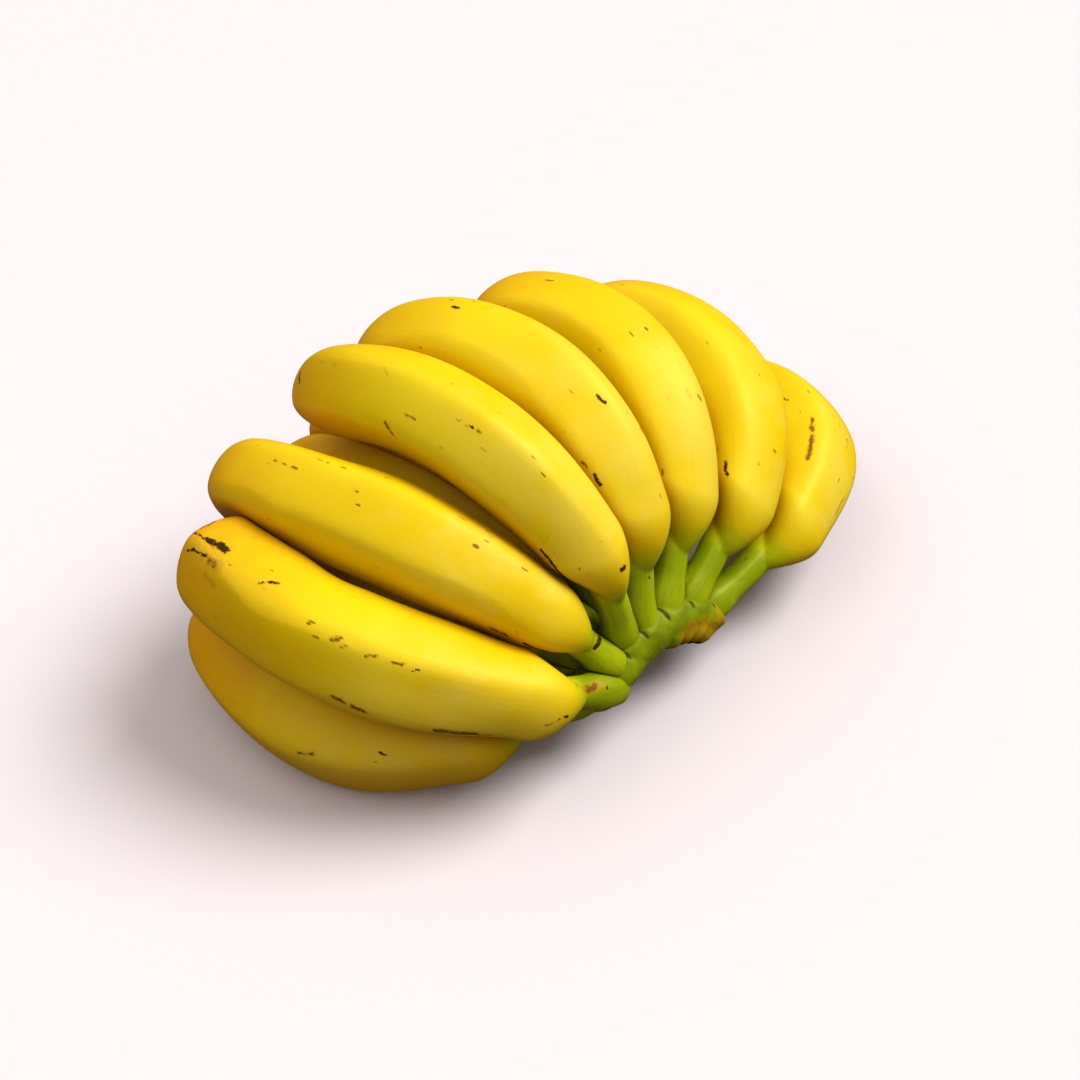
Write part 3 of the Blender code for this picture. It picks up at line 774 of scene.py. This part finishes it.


# painted shade: the colour is darkened where the skin comes close to a neighbour and where it faces down
def shadeColour(tree, colour, stalked):
    look, layers = peelLook, peelLayers
    bare = calc(tree, "SUBTRACT", 1.0, times(tree, stalked, 0.55))
    # painted shade in the creases where a neighbour comes close, less on the green stalk
    near = times(tree, between(tree, field(tree, "near"), 0.25, 1.05), bare)
    colour = paint(tree, colour, near, look["paintedCreviceShade"], layers["near"], "MULTIPLY")
    # painted shade: the colour is darkened where the surface faces down
    facing = tree.nodes.new("ShaderNodeSeparateXYZ")
    feed(tree, facing.inputs[0], tree.nodes.new("ShaderNodeNewGeometry").outputs["Normal"])
    under = between(tree, times(tree, facing.outputs[2], -1.0), -0.25, 0.75)
    return paint(tree, colour, under, look["under"], layers["under"], "MULTIPLY")


def peelMaterial():
    material, tree, shader = newTree("ripePeel")
    look = peelLook
    straight = field(tree, "straight", True)
    grains = peelGrains(tree, straight)
    colour, stalked = stalkColour(tree, ripeColour(tree, grains), grains)
    colour = fibreMottleAndPaintedHighlight(tree, colour, grains)
    colour, bruised, scarred = markColour(tree, colour, grains["ragged"])
    colour = speckColour(tree, colour, straight)
    dried = between(tree, plus(tree, field(tree, "dry"), times(tree, grains["ragged"], 0.25)), 0.25, 0.6)
    colour = blendColour(tree, dried, colour, look["dry"])
    feed(tree, shader.inputs["Base Color"], shadeColour(tree, colour, stalked))
    hurt = calc(tree, "MAXIMUM", calc(tree, "MAXIMUM", scarred, dried), times(tree, bruised, 0.6))
    roughness = plus(tree, look["roughness"], sway(tree, grains["mottled"], 0.22))
    feed(tree, shader.inputs["Roughness"], plus(tree, roughness, times(tree, hurt, 0.28), clamp=True))
    height = plus(tree, times(tree, grains["fibre"], 0.55), times(tree, grains["fine"], 0.35))
    height = calc(tree, "SUBTRACT", height, times(tree, hurt, 1.1))
    height = plus(tree, height, times(tree, grains["dimples"], 0.8))
    roughen(tree, shader, height, look["bump"], look["bumpDepth"])
    shader.inputs["Coat Weight"].default_value = look["coat"]
    shader.inputs["Coat Roughness"].default_value = look["coatRoughness"]
    shader.inputs["Specular IOR Level"].default_value = look["specular"]
    shader.inputs["Specular Tint"].default_value = (*look["shine"], 1.0)
    shader.inputs["Subsurface Weight"].default_value = look["subsurface"]
    shader.inputs["Subsurface Radius"].default_value = look["inside"]
    shader.inputs["Subsurface Scale"].default_value = look["depth"]
    return material


crownLook = dict(
    green=(0.230, 0.310, 0.001), deep=(0.170, 0.230, 0.001), gold=(0.460, 0.310, 0.003),
    rust=(0.300, 0.120, 0.005), crease=(0.040, 0.014, 0.001), cut=(0.050, 0.024, 0.008),
    pale=(0.230, 0.150, 0.070), shine=(0.95, 1.0, 0.35),
    roughness=0.50, specular=0.3, bump=0.5, bumpDepth=0.0004,
)

crownLayers = dict(rust=0.6, crease=0.92, rim=0.65, dots=0.8)


def crownMaterial():
    material, tree, shader = newTree("crownSkin")
    look, layers = crownLook, crownLayers
    place = tree.nodes.new("ShaderNodeTexCoord").outputs["Object"]
    broad = grain(tree, place, 90.0, 3.0)
    mottled = grain(tree, place, 420.0, 4.0, 0.6)
    fine = grain(tree, place, 1600.0, 3.0, 0.6)
    colour = blendColour(tree, between(tree, broad, 0.40, 0.68), look["green"], look["deep"])
    goldShare = plus(tree, field(tree, "golden"), sway(tree, mottled, 0.7))
    colour = blendColour(tree, between(tree, goldShare, 0.15, 0.85), colour, look["gold"])
    rusty = times(tree, between(tree, goldShare, 0.35, 1.1), between(tree, broad, 0.45, 0.62))
    colour = paint(tree, colour, rusty, look["rust"], layers["rust"])
    creased = between(tree, plus(tree, field(tree, "crease"), sway(tree, mottled, 0.8)), 0.35, 0.85)
    colour = paint(tree, colour, creased, look["crease"], layers["crease"])
    rimmed = between(tree, plus(tree, field(tree, "rim"), sway(tree, mottled, 1.2)), 0.45, 1.0)
    colour = paint(tree, colour, rimmed, look["rust"], layers["rim"])
    colour = paint(tree, colour, specks(tree, place, 330.0, 0.10, 0.16), look["crease"], layers["dots"])
    cutShare = between(tree, plus(tree, field(tree, "cut"), sway(tree, mottled, 0.6)), 0.30, 0.62)
    face = blendColour(tree, between(tree, mottled, 0.50, 0.72), look["cut"], look["pale"])
    feed(tree, shader.inputs["Base Color"], blendColour(tree, cutShare, colour, face))
    roughness = plus(tree, look["roughness"], times(tree, cutShare, 0.30))
    feed(tree, shader.inputs["Roughness"], plus(tree, roughness, sway(tree, mottled, 0.2), clamp=True))
    height = plus(tree, times(tree, mottled, 0.5), times(tree, fine, 0.4))
    height = times(tree, height, plus(tree, 0.6, times(tree, cutShare, 1.8)))
    roughen(tree, shader, height, look["bump"], look["bumpDepth"])
    shader.inputs["Specular IOR Level"].default_value = look["specular"]
    shader.inputs["Specular Tint"].default_value = (*look["shine"], 1.0)
    return material


fingers = listFingers()
for f in fingers:
    addPath(f)
outerFingers = fingers[:len(outerRow)]
# the hand is laid down as a whole, then moved onto the crown's box in the frame
leant = Matrix.Rotation(math.radians(hand["pitch"]), 3, "Y")
lay = np.array(leant @ Matrix.Rotation(math.radians(-hand["roll"]), 3, "X"))
corners = crownRings(outerFingers, 22, 16).reshape(-1, 3) @ lay.T
low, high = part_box("crown")
shift = (corners.min(0) + corners.max(0)) / 2 - np.array((low + high) / 2)


def place(points):
    placed = points @ lay.T - shift
    placed[..., 2] = np.maximum(placed[..., 2], 0.0)
    return placed


peel = peelMaterial()
for n, f in enumerate(fingers):
    piece = buildFinger(n, f, fingers, place)
    piece.data.materials.append(peel)
    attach(piece, "root")
    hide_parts(f["name"])
print("fingers built:", len(fingers))

crown = buildCrown(outerFingers, fingers, place)
crown.data.materials.append(crownMaterial())
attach(crown, "root")
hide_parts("crown")
print("crown built:", len(crown.data.vertices), "points")

# stage: a pale floor, soft light, camera
stageLook = dict(
    flat=1.0, reach=5.0, rise=0.18, colour=(0.83, 0.76, 0.79), roughness=0.8, specular=0.15,
    underlay=(0.30, 0.23, 0.12), underlayRoughness=0.9, underlayDrop=0.002,
    sky=(1.0, 0.97, 0.96), skyStrength=0.60,
)
suns = [
    dict(name="keyLight", towards=(0.34, 0.53, 0.78), strength=2.8, spread=34.0, colour=(1.0, 0.985, 0.96)),
    dict(name="fillLight", towards=(-0.76, -0.36, 0.53), strength=0.9, spread=80.0, colour=(1.0, 0.97, 0.94)),
]
camera = dict(
    place=(0.3519, -0.3940, 0.5532), look=(-0.4678, 0.5273, -0.7093), up=(-0.4262, 0.5685, 0.7037),
    lens=69.65, sensor=36.0, near=0.01, far=20.0,
)


# a wide dish, level under the fruit and rising gently far from it
def buildFloor():
    turns, rings = 128, 40
    radii = np.concatenate([[0.05, 0.3, 0.6], np.linspace(stageLook["flat"], stageLook["reach"], rings - 3)])
    height = stageLook["rise"] * np.maximum(radii - stageLook["flat"], 0) ** 2
    turn = np.radians(np.arange(turns) * 360 / turns)
    verts = [(0, 0, 0)] + [(r * math.cos(t), r * math.sin(t), z) for r, z in zip(radii, height) for t in turn]
    faces = [(0, 1 + k, 1 + (k + 1) % turns) for k in range(turns)]
    for n in range(rings - 1):
        a, b = 1 + n * turns, 1 + (n + 1) * turns
        faces += [(a + k, b + k, b + (k + 1) % turns, a + (k + 1) % turns) for k in range(turns)]
    mesh = bpy.data.meshes.new("floor")
    mesh.from_pydata(verts, [], faces)
    mesh.shade_smooth()
    floor = bpy.data.objects.new("floor", mesh)
    bpy.context.scene.collection.objects.link(floor)
    material, tree, shader = newTree("paleFloor")
    tint = grain(tree, tree.nodes.new("ShaderNodeTexCoord").outputs["Object"], 2.0, 2.0)
    pale = stageLook["colour"]
    feed(tree, shader.inputs["Base Color"], blendColour(tree, tint, pale, tuple(c * 0.985 for c in pale)))
    shader.inputs["Roughness"].default_value = stageLook["roughness"]
    shader.inputs["Specular IOR Level"].default_value = stageLook["specular"]
    floor.data.materials.append(material)
    floor.visible_diffuse = False  # little light comes back up from the surface
    floor.visible_glossy = False
    dull, _, dullShader = newTree("dullUnderlay")
    dullShader.inputs["Base Color"].default_value = (*stageLook["underlay"], 1.0)
    dullShader.inputs["Roughness"].default_value = stageLook["underlayRoughness"]
    under = floor.copy()
    under.name = "underlay"
    under.data = mesh.copy()
    under.data.materials.clear()
    under.data.materials.append(dull)
    under.location.z = -stageLook["underlayDrop"]
    under.visible_camera = False
    under.visible_diffuse = under.visible_glossy = True
    bpy.context.scene.collection.objects.link(under)


def softSun(name, towards, strength, spread, colour):
    light = bpy.data.lights.new(name, "SUN")
    light.energy = strength
    light.angle = math.radians(spread)
    light.color = colour
    item = bpy.data.objects.new(name, light)
    item.rotation_euler = (-Vector(towards)).to_track_quat("-Z", "Y").to_euler()
    item.location = Vector(towards)
    bpy.context.scene.collection.objects.link(item)


buildFloor()
world = bpy.data.worlds.new("softSky")
bpy.context.scene.world = world
world.use_nodes = True
world.node_tree.nodes["Background"].inputs[0].default_value = (*stageLook["sky"], 1.0)
world.node_tree.nodes["Background"].inputs[1].default_value = stageLook["skyStrength"]
for sun in suns:
    softSun(**sun)

lens = bpy.data.cameras.new("camera")
lens.lens = camera["lens"]
lens.sensor_width = camera["sensor"]
lens.clip_start = camera["near"]
lens.clip_end = camera["far"]
viewer = bpy.data.objects.new("camera", lens)
look, upward = Vector(camera["look"]).normalized(), Vector(camera["up"]).normalized()
right = look.cross(upward).normalized()
upward = right.cross(look)
facing = Matrix((right, upward, -look)).transposed().to_4x4()
viewer.matrix_world = Matrix.Translation(camera["place"]) @ facing
bpy.context.scene.collection.objects.link(viewer)
bpy.context.scene.camera = viewer
bpy.context.scene.view_settings.view_transform = "Standard"
print("stage, lights and camera set")
